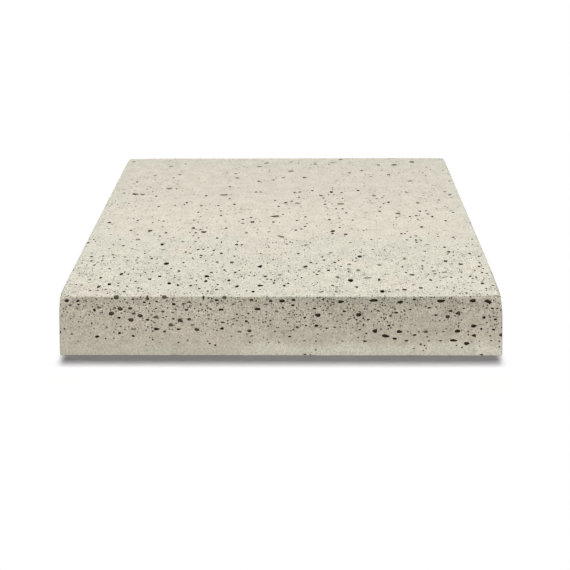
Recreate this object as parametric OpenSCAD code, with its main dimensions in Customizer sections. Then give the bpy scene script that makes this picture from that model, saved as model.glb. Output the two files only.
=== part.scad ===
// Square paving slab of wet-cast concrete with an open-pored face and open-pored sides.
// Millimetres. Z points up, the bed lies on Z = 0 and the origin is at the middle of the bed.

/* [Slab] */
// Width from left to right, measured just above the bed where the slab is widest
slab_w = 400; // [300:1:600]
// Depth from front to back, measured just above the bed
slab_d = 400; // [300:1:600]
// Thickness from the bed to the wearing face
slab_t = 58; // [45:1:90]

/* [Mould] */
// How far each side leans in from bed to face, so that the slab leaves its mould
draft = 4; // [1:0.5:6]
// Radius of the four upright corners
corner_r = 2; // [1:0.1:8]
// Radius of the eased arris round the wearing face
arris_r = 1.5; // [0.5:0.1:1.8]
// Width and height of the small chamfer round the bed
bed_chamfer = 0.8; // [0.3:0.1:2]

/* [Pores] */
// Smallest opening of a scattered pore
pore_min = 2.2; // [1.5:0.1:3]
// Largest opening of a scattered pore
pore_max = 5; // [3:0.1:8]
// Scattered pores in each square decimetre of the wearing face, besides the chosen ones
face_pores_dm2 = 3; // [0:1:10]
// Scattered pores in each square decimetre of the left, right and back side
side_pores_dm2 = 15; // [0:1:24]
// Scattered pores in each square decimetre of the front, besides the chosen ones
front_pores_dm2 = 8; // [0:1:24]
// Least width of sound concrete between two scattered pores
pore_gap = 3; // [1:0.5:6]
// Height of the strip above the bed that stays free of scattered pores
bare_foot = 11; // [5:1:20]
// How deep a bubble's centre lies under the surface, as a share of its radius
bubble_sink = 0.3; // [0:0.05:0.6]
// Choice of the scatter
scatter_seed = 7; // [1:1:99]

/* [Hidden] */
$fn = 48;

// Side of the square decimetre that the pore counts refer to
DECIMETRE = 100;
// How far cutting shapes reach past what they cut
OVER = 1;
// How far a rounding stands past the two faces that it joins, so that it meets both in a clean line
MEET = 0.005;

// Angle by which each side leans in
lean = atan(draft / (slab_t - bed_chamfer));
// Flat part of the wearing face and of a side, clear of the corners
field_w = slab_w - 2 * (draft + corner_r);
field_d = slab_d - 2 * (draft + corner_r);

// The larger pores of the wearing face:
// [from the middle to the right, from the front arris, length, width, turn]
FACE_PORES = [
    // Front third
    [-164, 19.5, 3.8, 3, 0], [-155, 25, 3.8, 3, 0], [-165.5, 39, 3.4, 2.6, 0], [-101, 27, 4.2, 3.2, 0],
    [-68, 31.5, 4, 3, 10], [-68, 42, 4.4, 3.8, 90], [-39, 20.5, 4.2, 2.8, 60], [-18, 22, 4.8, 3, 0],
    [3.5, 22, 3.4, 2.6, 0], [-20, 64, 4.6, 4, 20], [-47, 73, 4.2, 3.4, 60], [-109, 70.5, 5.6, 4.4, 170],
    [-119, 117, 4.2, 3.4, 90], [-193.5, 122, 3.4, 3, 90], [23, 64, 4, 3.4, 0], [52, 40, 4.2, 3.2, 100],
    [64, 33, 5.6, 4.6, 75], [72, 55, 4, 3, 90], [75, 87, 4.6, 3.8, 0], [91, 10, 4.6, 4, 0],
    [111, 13.5, 4.4, 2.6, 180], [126, 17, 3.8, 3, 0], [121, 45, 5.2, 2.6, 0], [156, 76, 3.8, 3.4, 0],
    [169, 69, 4.6, 2.8, 0], [162, 98, 3.8, 3, 90], [182.5, 26.5, 3.4, 2.8, 90],
    // Middle third
    [-182, 176, 4.6, 2.8, 0], [-145, 130, 4.2, 2.8, 0], [-136, 153, 5.2, 3.6, 50], [-80.5, 149.5, 6, 3.2, 0],
    [-45, 116.5, 3.6, 3.2, 0], [-32, 177, 5, 3, 180], [-1.5, 137, 7.8, 2.8, 155], [-9, 193, 8, 3.6, 0],
    [64, 143, 4, 2.8, 0], [62, 230, 7.2, 4.2, 0], [2, 234, 4.2, 3.4, 0], [122, 201, 5, 3, 0],
    // Back third
    [-168, 262, 6.6, 3.6, 0], [-159.5, 261, 5, 3, 0], [-68, 259, 8.2, 4.6, 0], [53, 268, 4.6, 4.2, 0],
    [100, 256, 4.8, 4.4, 0], [185, 258.5, 4, 3, 0], [23, 318, 5, 3.4, 180], [7, 341, 6, 4.2, 0],
    [132, 364, 6.4, 4.2, 0], [154.5, 375, 6.4, 4.2, 0], [68, 385.5, 5, 2.6, 0], [6.5, 375.5, 4.6, 3, 0],
];

// The larger pores of the front:
// [from the middle to the right, below the face, length, height, turn]
FRONT_PORES = [
    // On the arris and close under it
    [-144.5, 1.2, 4.8, 4.4, 0], [-117, 1.2, 4.4, 4, 90], [-102, 1, 4.4, 3.8, 90], [-49.5, 0.5, 3, 2.6, 90],
    [-189, 4.5, 4.2, 2.4, 0], [-94, 7.5, 3.4, 2.8, 20], [-25, 3.5, 3.2, 2.8, 0], [-8, 4.5, 3.6, 2.8, 0],
    [2, 4.5, 5.2, 2.8, 0], [12, 3.5, 3.4, 2.2, 0], [54, 5.2, 5.2, 2.8, 0], [83, 4, 6.8, 2.8, 0],
    [106, 5.6, 4.4, 3, 0], [142, 4.5, 6.4, 3, 0], [170, 4.5, 5.2, 2.8, 0], [183.5, 5.3, 6, 3, 165],
    // Upper half
    [-165, 13, 3, 2.2, 0], [-142, 12, 4.6, 3.2, 0], [-133, 11.5, 4, 2.4, 0], [-150, 16.5, 5, 3.4, 0],
    [-124.5, 18.6, 4.8, 3.8, 170], [-133, 22.6, 4.8, 3.4, 0], [-110.5, 20, 4, 2.4, 0], [-83, 13, 3, 2.8, 0],
    [-89, 23, 4.4, 3.2, 0], [-81, 22, 3.8, 2.6, 0], [-97.5, 27.5, 4.2, 3.6, 0], [-52, 12.7, 4.2, 2.4, 0],
    [-20, 12.2, 5, 2.6, 0], [-30, 24, 3, 2.8, 0], [33.5, 18, 5.4, 3, 0], [70, 17.6, 4.6, 4.4, 0],
    [103, 15.7, 4.2, 1.8, 0], [132, 11, 3.4, 1.8, 0], [138, 18, 3.2, 2, 0], [151, 14, 3.4, 2.2, 0],
    [148.5, 19.6, 4.2, 3.4, 0], [157.5, 16, 4.4, 3, 20],
    // Lower half
    [-198, 34.5, 3.6, 3.2, 90], [-164.5, 39, 4, 2.4, 10], [-110.5, 31.5, 4.8, 2.6, 0], [-74.5, 32, 4.2, 3, 0],
    [-52, 31, 3.6, 2.4, 0], [-27.5, 33.3, 4.2, 2.6, 0], [32.5, 28.3, 3.8, 2.4, 0], [97, 28, 3.2, 2, 0],
    [84.5, 33.4, 4.6, 3.2, 0], [94.5, 38.2, 6.8, 3, 175], [101, 40.3, 4.8, 2.2, 0], [106.5, 34, 5, 2.8, 0],
    [76, 43.3, 3.6, 2, 0], [130, 34, 3.8, 2.4, 0], [158, 33.5, 5, 3, 10], [172, 28.5, 4.6, 3, 0],
    [155, 42.5, 6.6, 2.4, 175], [167, 45.5, 5, 3, 0], [198, 37.5, 4.6, 3.4, 90],
];

// Distance from the slab's middle to a side at height z, for a side that stands reach away at the bed
function side_at(reach, z) = reach - (z - bed_chamfer) * tan(lean);

// Upright section through the slab, with leaning sides, eased arrises and chamfered foot
module section(width) {
    half = width / 2;
    eased = [half - draft, slab_t] - (arris_r - MEET) * [tan((90 - lean) / 2), 1];
    difference() {
        polygon([
            [bed_chamfer - half, 0], [half - bed_chamfer, 0], [half, bed_chamfer],
            [half - draft, slab_t], [draft - half, slab_t], [-half, bed_chamfer]
        ]);
        for (side = [0, 1])
            mirror([side, 0])
                difference() {
                    polygon([
                        eased, [eased.x, slab_t + OVER], [half + OVER, slab_t + OVER],
                        eased + (2 * draft + 2 * arris_r) * [cos(lean), sin(lean)]
                    ]);
                    translate(eased) circle(arris_r);
                }
    }
}

// What is taken off a corner, leaning in with it: all outside a cylinder that touches both sides
module corner_waste() {
    tilt = atan(sqrt(2) * tan(lean));
    half_angle = asin(cos(lean) / sqrt(2));
    inset = (corner_r - MEET) / cos(lean) - bed_chamfer * tan(lean);
    translate([slab_w / 2 - inset, slab_d / 2 - inset, 0])
        rotate(45)
            rotate([0, -tilt, 0])
                translate([0, 0, -2 * OVER])
                    linear_extrude(slab_t + 6 * OVER)
                        difference() {
                            polygon([
                                [0, 0],
                                (corner_r + OVER) * [cos(half_angle), sin(half_angle)],
                                [2 * corner_r + 2 * OVER, 0],
                                (corner_r + OVER) * [cos(half_angle), -sin(half_angle)]
                            ]);
                            circle(corner_r);
                        }
}

module cast_block() {
    difference() {
        intersection() {
            rotate([90, 0, 90]) linear_extrude(slab_w + 2 * OVER, center = true) section(slab_d);
            rotate([90, 0, 0]) linear_extrude(slab_d + 2 * OVER, center = true) section(slab_w);
        }
        for (x = [0, 1], y = [0, 1])
            mirror([x, 0, 0]) mirror([0, y, 0]) corner_waste();
    }
}

// One open pore under the surface z = 0: a single air bubble, or for a longer pore a string of
// merged bubbles that get smaller towards one end
module pore(length, width) {
    round_enough = length < 1.35 * width;
    tail = round_enough ? 1 : 0.75;
    big_r = (round_enough ? (length + width) / 4 : width / 2) / sqrt(1 - bubble_sink ^ 2);
    span = length - width * (1 + tail) / 2;
    steps = round_enough ? 0 : ceil(span / (0.7 * width));
    for (i = [0 : steps]) {
        along = steps > 0 ? i / steps : 0.5;
        bubble_r = big_r * (1 - (1 - tail) * along);
        translate([(width - length) / 2 + along * span, 0, -bubble_sink * bubble_r])
            sphere(bubble_r);
    }
}

module face_pore(x, y, length, width, turn) {
    translate([x, y, slab_t]) rotate(turn) pore(length, width);
}

// A pore in the side that faces -Y, at a height z above the bed
module side_pore(x, reach, z, length, width, turn) {
    translate([x, -side_at(reach, z), z]) rotate([90 - lean, 0, 0]) rotate(turn) pore(length, width);
}

// Lengths of scattered pores: many small ones and few large ones
function pore_length(t) = pore_min + (pore_max - pore_min) * t ^ 3;

// Whether a scattered pore at x, y keeps clear of every chosen pore
function is_clear(x, y, chosen) =
    len([for (p = chosen) if (norm([p[0] - x, p[1] - y]) < (p[2] + pore_max) / 2 + pore_gap) p]) == 0;

// Scattered pores stand in cells that are large enough to keep them apart, and most cells stay empty
cell = pore_max + pore_gap;
function filled(per_dm2) = per_dm2 * cell ^ 2 / DECIMETRE ^ 2;

module scattered_face_pores() {
    nx = floor(field_w / cell);
    ny = floor(field_d / cell);
    t = rands(0, 1, 6 * nx * ny, scatter_seed);
    for (ix = [0 : nx - 1], iy = [0 : ny - 1]) {
        k = 6 * (ix * ny + iy);
        length = pore_length(t[k + 3]);
        x = (ix - (nx - 1) / 2) * cell + (t[k + 1] - 0.5) * pore_gap;
        y = (iy - (ny - 1) / 2) * cell + (t[k + 2] - 0.5) * pore_gap;
        if (t[k] < filled(face_pores_dm2) && is_clear(x, y + slab_d / 2 - draft, FACE_PORES))
            face_pore(x, y, length, length * (0.65 + 0.35 * t[k + 4]), 360 * t[k + 5]);
    }
}

// Scattered pores of the side that faces -Y, thinning out towards the bed
module scattered_side_pores(side, length_along, reach, per_dm2, chosen) {
    nx = floor(length_along / cell);
    nz = floor((slab_t - arris_r - bare_foot) / cell);
    t = rands(0, 1, 6 * nx * nz, scatter_seed + side);
    for (ix = [0 : nx - 1], iz = [0 : nz - 1]) {
        k = 6 * (ix * nz + iz);
        length = pore_length(t[k + 3]);
        x = (ix - (nx - 1) / 2) * cell + (t[k + 1] - 0.5) * pore_gap;
        below = arris_r + (iz + 0.5) * cell + (t[k + 2] - 0.5) * pore_gap;
        thinned = 1.5 - iz / (nz - 1);
        if (t[k] < filled(per_dm2) * thinned && is_clear(x, below, chosen))
            side_pore(x, reach, slab_t - below,
                length, length * (0.55 + 0.4 * t[k + 4]), 20 * (t[k + 5] - 0.5));
    }
}

module slab() {
    color("#dcd7c8")
        difference() {
            cast_block();
            for (p = FACE_PORES) face_pore(p[0], p[1] - slab_d / 2 + draft, p[2], p[3], p[4]);
            for (p = FRONT_PORES) side_pore(p[0], slab_d / 2, slab_t - p[1], p[2], p[3], p[4]);
            scattered_face_pores();
            scattered_side_pores(1, field_w, slab_d / 2, front_pores_dm2, FRONT_PORES);
            rotate(90) scattered_side_pores(2, field_d, slab_w / 2, side_pores_dm2, []);
            rotate(180) scattered_side_pores(3, field_w, slab_d / 2, side_pores_dm2, []);
            rotate(270) scattered_side_pores(4, field_d, slab_w / 2, side_pores_dm2, []);
        }
}

slab();
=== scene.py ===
import math

import bpy
import numpy as np
from mathutils import Matrix, Vector


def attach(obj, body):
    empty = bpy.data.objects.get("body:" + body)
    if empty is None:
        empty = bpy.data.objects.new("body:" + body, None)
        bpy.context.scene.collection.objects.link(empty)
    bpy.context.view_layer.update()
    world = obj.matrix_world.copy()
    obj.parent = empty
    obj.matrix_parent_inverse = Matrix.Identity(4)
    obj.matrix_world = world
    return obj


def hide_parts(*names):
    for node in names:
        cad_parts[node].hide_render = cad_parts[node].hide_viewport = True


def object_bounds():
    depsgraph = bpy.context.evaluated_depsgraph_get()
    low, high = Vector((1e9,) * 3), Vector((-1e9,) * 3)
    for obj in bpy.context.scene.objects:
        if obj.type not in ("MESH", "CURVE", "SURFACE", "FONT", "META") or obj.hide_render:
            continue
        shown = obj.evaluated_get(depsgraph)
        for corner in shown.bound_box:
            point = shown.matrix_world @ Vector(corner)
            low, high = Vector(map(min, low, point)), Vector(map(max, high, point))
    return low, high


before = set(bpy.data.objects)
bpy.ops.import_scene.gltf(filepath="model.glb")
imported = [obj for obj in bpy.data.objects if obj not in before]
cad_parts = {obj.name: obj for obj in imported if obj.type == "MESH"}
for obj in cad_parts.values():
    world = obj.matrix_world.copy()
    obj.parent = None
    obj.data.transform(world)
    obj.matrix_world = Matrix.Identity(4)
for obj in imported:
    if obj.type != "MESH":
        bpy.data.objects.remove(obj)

cad_low, cad_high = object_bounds()
scene = bpy.context.scene
MM = 0.001

# The camera
# A plain studio camera in front of the slab, a little to the right, looking down on it. Its lens and
# place are those at which the slab's edges fall where the picture has them.
CAMERA_AT = Vector((18.76, -964.43, 433.84)) * MM
CAMERA_DOWN = math.radians(25.394)
CAMERA_TO_THE_LEFT = math.radians(1.050)
CAMERA_ROLL = math.radians(-0.470)
LENS_ON_36MM = 61.334

lens = bpy.data.cameras.new("camera")
lens.lens = LENS_ON_36MM
lens.sensor_width = 36.0
lens.clip_end = 50.0
camera = bpy.data.objects.new("camera", lens)
camera.matrix_world = (
    Matrix.Translation(CAMERA_AT)
    @ Matrix.Rotation(CAMERA_TO_THE_LEFT, 4, "Z")
    @ Matrix.Rotation(math.pi / 2 - CAMERA_DOWN, 4, "X")
    @ Matrix.Rotation(CAMERA_ROLL, 4, "Z")
)
scene.collection.objects.link(camera)
scene.camera = camera
scene.view_settings.view_transform = "Standard"


# The light
# One long overhead panel hangs a little behind the slab and throws a short shadow in front of it. A weak low
# light from the front and an even white room light open up the front side.
KEY_BACK_TILT = math.radians(17.0)
KEY_AWAY = 10.0
KEY_WIDE, KEY_LONG = math.radians(6.5), math.radians(13.5)
KEY_SHARE = 0.82
FILL_HEIGHT = math.radians(7)
FILL_SPREAD = math.radians(13)
FILL_SHARE = 0.47
ROOM_SHARE = 0.12
WHITE = (1, 1, 1, 1)


def hang(name, kind, energy, turn, away=0.0):
    """A lamp that shines on the slab from some distance away, turned out of the upright toward the front."""
    lamp = bpy.data.lights.new(name, kind)
    lamp.energy = energy
    stand = bpy.data.objects.new(name, lamp)
    stand.matrix_world = Matrix.Rotation(turn, 4, "X") @ Matrix.Translation((0, 0, away))
    stand.visible_camera = False
    scene.collection.objects.link(stand)
    return lamp


# A sun of strength pi, and a panel of pi squared times its distance squared, light a white surface that
# faces them to full white
key_energy = KEY_SHARE / math.cos(KEY_BACK_TILT) * (math.pi * KEY_AWAY) ** 2
key = hang("key_light", "AREA", key_energy, -KEY_BACK_TILT, KEY_AWAY)
key.shape = "RECTANGLE"
key.size = 2 * KEY_AWAY * math.tan(KEY_WIDE / 2)
key.size_y = 2 * KEY_AWAY * math.tan(KEY_LONG / 2)
fill = hang("front_fill", "SUN", FILL_SHARE * math.pi, math.pi / 2 - FILL_HEIGHT)
fill.angle = FILL_SPREAD


def add(kind, inputs=(), **settings):
    """A node in the tree in hand, with its settings, and its inputs set to values or joined to outputs."""
    node = tree.nodes.new(kind)
    for name, value in settings.items():
        setattr(node, name, value)
    for name, value in dict(inputs).items():
        if isinstance(value, bpy.types.NodeSocket):
            tree.links.new(value, node.inputs[name])
        else:
            node.inputs[name].default_value = value
    return node


def maths(operation, first, second=0.0):
    """The result of an operation on numbers or outputs."""
    return add("ShaderNodeMath", {0: first, 1: second}, operation=operation).outputs[0]


def spread(value, low, high, to_low=0.0, to_high=1.0):
    """An output that goes smoothly from to_low to to_high while value goes from low to high."""
    ends = {"Value": value, "From Min": low, "From Max": high, "To Min": to_low, "To Max": to_high}
    return add("ShaderNodeMapRange", ends, interpolation_type="SMOOTHSTEP").outputs["Result"]


# The room is white to the camera and in reflections, but lights the slab only weakly
scene.world = bpy.data.worlds.new("room")
scene.world.use_nodes = True
tree = scene.world.node_tree
ray = add("ShaderNodeLightPath").outputs
seen_directly = maths("MAXIMUM", ray["Is Camera Ray"], ray["Is Glossy Ray"])
background = tree.nodes["Background"]
background.inputs["Color"].default_value = WHITE
tree.links.new(spread(seen_directly, 0, 1, ROOM_SHARE), background.inputs["Strength"])


# The floor
# A sheet of white studio paper that reaches past the picture on every side. It takes the slab's short shadow
# in front, deepened there by painted shadow, a greyer and bluer paper colour, and round that it is plain white
# to the camera, painted light that also covers the soft edges of the shadow and the shade close round the slab.
FLOOR_HALF = 6.0
FLOOR_BELOW_BED = 0.1 * MM
PAPER_TO_LIGHT = (0.3, 0.3, 0.3, 1)
# Paper colour to the camera where the slab's shadow falls in front: painted shadow that makes that shadow
# deeper
PAINTED_SHADOW_ON_PAPER = (0.668, 0.667, 0.717, 1)
# Distances from the middle of the slab between which each change takes place
PAINTED_SHADOW_TO_FRONT = (0.209, 0.223)
# Where plain white glow takes over: painted light that trims the shadow's soft ends and the shade close round
# the slab
WHITE_TO_FRONT = (0.236, 0.262)
WHITE_TO_BACK = (0.196, 0.220)
WHITE_TO_SIDES = (0.192, 0.204)

paper = bpy.data.materials.new("studio_paper")
paper.use_nodes = True
tree = paper.node_tree
tree.nodes.remove(tree.nodes["Principled BSDF"])


def blend(factor, first, second, data_type="RGBA"):
    """An output that goes from the first colour or number to the second while factor goes from 0 to 1."""
    inputs = {"Factor": factor, "A": first, "B": second}
    return add("ShaderNodeMix", inputs, data_type=data_type).outputs["Result"]


to_camera = add("ShaderNodeLightPath").outputs["Is Camera Ray"]
spot = add("ShaderNodeTexCoord").outputs["Object"]
to_right, to_back = add("ShaderNodeSeparateXYZ", {"Vector": spot}).outputs[:2]
to_front = maths("MULTIPLY", to_back, -1.0)
# Painted shadow: to the camera the paper turns greyer in front of the slab, under its shadow
seen_shade = blend(spread(to_front, *PAINTED_SHADOW_TO_FRONT), PAINTED_SHADOW_ON_PAPER, WHITE)
paper_shade = blend(to_camera, PAPER_TO_LIGHT, seen_shade)
lit_paper = add("ShaderNodeBsdfDiffuse", {"Color": paper_shade}).outputs[0]
plain_white = add("ShaderNodeEmission").outputs[0]
# Painted light: close beside and behind the slab the camera sees plain white glow, over the soft edges of its
# shadow
fade = maths("MAXIMUM", spread(to_front, *WHITE_TO_FRONT), spread(to_back, *WHITE_TO_BACK))
fade = maths("MAXIMUM", fade, spread(maths("ABSOLUTE", to_right), *WHITE_TO_SIDES))
seen_fade = maths("MULTIPLY", fade, to_camera)
paper_mix = add("ShaderNodeMixShader", {0: seen_fade, 1: lit_paper, 2: plain_white}).outputs[0]
tree.links.new(paper_mix, tree.nodes["Material Output"].inputs["Surface"])


def mesh_piece(name, points, faces):
    """A mesh object at the origin from an array of points in metres and lists of faces."""
    mesh = bpy.data.meshes.new(name)
    mesh.from_pydata(points, [], faces)
    mesh.update()
    piece = bpy.data.objects.new(name, mesh)
    scene.collection.objects.link(piece)
    return piece


reach = FLOOR_HALF * np.array([[-1, -1], [1, -1], [1, 1], [-1, 1]])
floor = mesh_piece("floor", np.column_stack([reach, np.full(4, -FLOOR_BELOW_BED)]), [[0, 1, 2, 3]])
floor.data.materials.append(paper)


# The cast block
# A square slab of pale concrete, poured into a smooth mould and lifted out when hard. Its sides lean in so
# that it leaves the mould, and the arris round the wearing face is eased and a little worn by handling.
SLAB_W, SLAB_D, SLAB_T = np.subtract(cad_high, cad_low) / MM
LEAN_IN = 4.0
CORNER_RADIUS = 2.0
ARRIS_RADIUS = 1.5
BED_CHAMFER = 0.8
# The grid: columns along the sides, steps of the rounds, and rings of the sides, the face and the bed
COLUMN_EVERY = 2.6
CORNER_STEPS = 6
ARRIS_STEPS = 5
SIDE_ROWS = 5
FIRST_ROW_ABOVE_CHAMFER = 0.5
FACE_RINGS = (0.993, 0.982, 0.8)
BED_RINGS = (0.9,)
# Wear of the arris: its depth, its waves round the slab, the middle and the half height of its bell as shares
# of the arris radius, and how far it goes down for what it goes in
ARRIS_WEAR, WEAR_SEED = 0.35, 11
WEAR_WAVES = (7, 23, 61, 139, 211)
WEAR_BELOW_FACE, WEAR_HALF_HIGH = 0.4, 0.6
WEAR_DOWN_SHARE = 0.7
# For the front right, back right, back left and front left corner: how far its arris is worn away, and how
# far along that reaches
CORNER_WEAR = ((1.5, 38), (0.4, 20), (0.5, 25), (0.9, 22))
# How far the upright corners are eased, and the reach of that along the sides and down
CORNER_EASE, CORNER_EASE_ALONG, CORNER_EASE_DOWN = 0.6, 5, 14

lean_slope = LEAN_IN / (SLAB_T - BED_CHAMFER)
lean_angle = math.atan(lean_slope)
flat_half = SLAB_W / 2 - LEAN_IN - ARRIS_RADIUS * math.tan((math.pi / 2 - lean_angle) / 2)


def outline(count, corner_steps):
    """A rounded square walked anticlockwise, as two arrays that hold for every size of it: a column stands at
    (half side - radius) times the first array plus radius times the second. On a corner the first stays there
    and the second turns through a quarter circle, and along a side the first slides from one corner to the
    next while the second keeps facing outwards. Each further quarter is the first one turned."""
    turn = np.linspace(0, np.pi / 2, corner_steps + 1)
    slide = np.arange(1, count) / count
    base = np.vstack([np.ones((corner_steps + 1, 2)), np.column_stack([1 - 2 * slide, np.ones(count - 1)])])
    normal = np.vstack([np.column_stack([np.cos(turn), np.sin(turn)]), np.tile([0.0, 1.0], (count - 1, 1))])
    quarters = [np.linalg.matrix_power(np.array([[0, 1], [-1, 0]]), k) for k in range(4)]
    return np.vstack([base @ q for q in quarters]), np.vstack([normal @ q for q in quarters])


def block_profile():
    """Half side, corner radius and height of each ring, from inside the bed to inside the face: flat bed,
    chamfer, straight leaning side, a quarter round that touches both side and face, and flat face."""
    foot = SLAB_W / 2 - BED_CHAMFER
    arris = np.linspace(lean_angle, np.pi / 2, ARRIS_STEPS + 1)
    arris_out = flat_half + ARRIS_RADIUS * np.cos(arris)
    arris_up = SLAB_T - ARRIS_RADIUS + ARRIS_RADIUS * np.sin(arris)
    heights = np.linspace(BED_CHAMFER, arris_up[0], SIDE_ROWS)[1:-1]
    heights = (BED_CHAMFER, BED_CHAMFER + FIRST_ROW_ABOVE_CHAMFER, *heights)
    rows = [(foot * share, CORNER_RADIUS * share, 0.0) for share in (*BED_RINGS, 1)]
    rows += [(SLAB_W / 2 - (z - BED_CHAMFER) * lean_slope, CORNER_RADIUS, z) for z in heights]
    rows += [(out, CORNER_RADIUS, up) for out, up in zip(arris_out, arris_up)]
    rows += [(flat_half * share, CORNER_RADIUS * share, SLAB_T) for share in FACE_RINGS]
    return np.array(rows)


def waves_round(place, seed, lengths):
    """A gentle unevenness along the outline, between 0 and 1: the mean of sines of a few wave lengths that
    divide the outline evenly, each with its own phase."""
    phase = np.random.default_rng(seed).uniform(0, 2 * np.pi, len(lengths))
    total = sum(np.sin(2 * np.pi * place / length + p) for length, p in zip(lengths, phase))
    return 0.5 + 0.5 * total / len(lengths)


def skin(columns, rings):
    """The faces of a closed skin on a grid of rings, one after the other, each of so many columns: quads
    between the rings, and a fan from the first and the last ring to the two points that follow the grid."""
    cell = np.arange(columns)
    after = (cell + 1) % columns
    low = (np.arange(rings - 1) * columns)[:, None]
    high = low + columns
    quads = np.stack([low + cell, low + after, high + after, high + cell], axis=2).reshape(-1, 4)
    last, pole = (rings - 1) * columns, np.full(columns, rings * columns)
    return quads, np.column_stack([after, cell, pole]), np.column_stack([last + cell, last + after, pole + 1])


def block_surface():
    """The skin of the block on a grid, the outline's columns by the profile's rings, closed by a point in the
    middle of the bed and one in the middle of the face. Round the arris it is drawn in along the outline's
    normal and down by the wear there, a bell across the arris times the sum of small waves and a wide bell at
    each corner. The upright corners are eased too, less and less further down."""
    base, normal = outline(int(SLAB_W / COLUMN_EVERY), CORNER_STEPS)
    half, radius, height = block_profile().T
    perimeter = 4 * SLAB_W
    place = np.arange(len(base)) * perimeter / len(base)
    wear = ARRIS_WEAR * waves_round(place, WEAR_SEED, [perimeter / n for n in WEAR_WAVES])
    ease = np.zeros(len(base))
    for corner, (depth, along) in zip(((1, -1), (1, 1), (-1, 1), (-1, -1)), CORNER_WEAR):
        from_corner = np.linalg.norm(SLAB_W / 2 * (base - corner), axis=1)
        wear += depth * np.exp(-((from_corner / along) ** 2))
        ease += CORNER_EASE * np.exp(-((from_corner / CORNER_EASE_ALONG) ** 2))
    off_face = half >= flat_half
    from_wear = height - SLAB_T + WEAR_BELOW_FACE * ARRIS_RADIUS
    bell = np.exp(-((from_wear / (WEAR_HALF_HIGH * ARRIS_RADIUS)) ** 2))
    worn = np.where(off_face, bell, 0)[:, None] * wear
    eased = np.where(off_face, np.exp(-(((SLAB_T - height) / CORNER_EASE_DOWN) ** 2)), 0)[:, None] * ease
    drawn_in = worn + eased
    flat = (half - radius)[:, None, None] * base + (radius[:, None] - drawn_in)[:, :, None] * normal
    up = height[:, None] - WEAR_DOWN_SHARE * worn
    points = np.dstack([flat, up]).reshape(-1, 3)
    points = np.vstack([points, [[0, 0, 0], [0, 0, SLAB_T]]])
    return points * MM, [face for part in skin(len(base), len(half)) for face in part.tolist()]


slab = mesh_piece("paving_slab", *block_surface())


# The air pores
# Bubbles that were caught against the mould and stand open since it was stripped. The larger ones are those
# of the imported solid. Smaller ones crowd between them, least on the foot, which was the last to be poured.
PORE_SEED = 29
# The side is 0 to 4 for the face, front, right, back and left. Half holds half the length, width and depth.
PORE = np.dtype([("middle", float, 3), ("side", int), ("turn", float), ("half", float, 3), ("dust", int)])
# Middles lie under the surface by this share of the half depth
SINK = 0.3
# Pores of the solid: where they begin, how far off a sphere a single bubble's points may lie, how much fuller
# strings of bubbles are than their points, and how single ones of the sides are stretched
SOLID_PORE_DEEPER_THAN = 0.65
OFF_SPHERE = 0.02
STRING_FULLER = 1.12
SIDE_STRETCH = (1.12, 0.86, 0.9)
# Strewn pores: number on each side, lengths, how much small ones prevail, strips without any, spread of the
# turn, and width (on the face and on the sides) and depth as shares of the length
SMALL_PER_DM2 = (195, 640, 210, 210, 210)
SMALL_FROM, SMALL_TO, MOSTLY_SMALL = 1.0, 2.2, 2.5
FOOT_WITHOUT, BELOW_FACE = 9.0, 0.6
SIDE_TURN = 0.25
WIDTH_OF_LENGTH = ((0.75, 1.0), (0.5, 0.9))
DEPTH_OF_LENGTH = (0.8, 1.4)
# Listed pores: how much fuller than listed, width where none is listed, spread of the turn, depth as a share
# of the width, and greatest half depth of pores and of marks
SHOWN_FULLER = 1.1
LISTED_WIDTH, LISTED_TURN = 0.85, 0.12
LISTED_DEPTH = (0.8, 1.2)
PORE_DEPTH, MARK_DEPTH = 2.0, 0.32
# Pores of the face are drawn longer front to back, except near its edges
FACE_LONGER, FACE_LONGER_FROM_EDGE = 1.45, 5
# How lumpy and drop shaped bubbles are, and so how far they reach past their half sizes
SWELL, DROP = (0.03, 0.12), 0.3
LUMPY, LUMPY_IN_BOX = 1.12, 1.2
GAP_BETWEEN = 0.2
# Half lengths from which bubbles are meshed finely and under which coarsely
LARGE_FROM, TINY_UNDER = 1.3, 0.75

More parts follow.
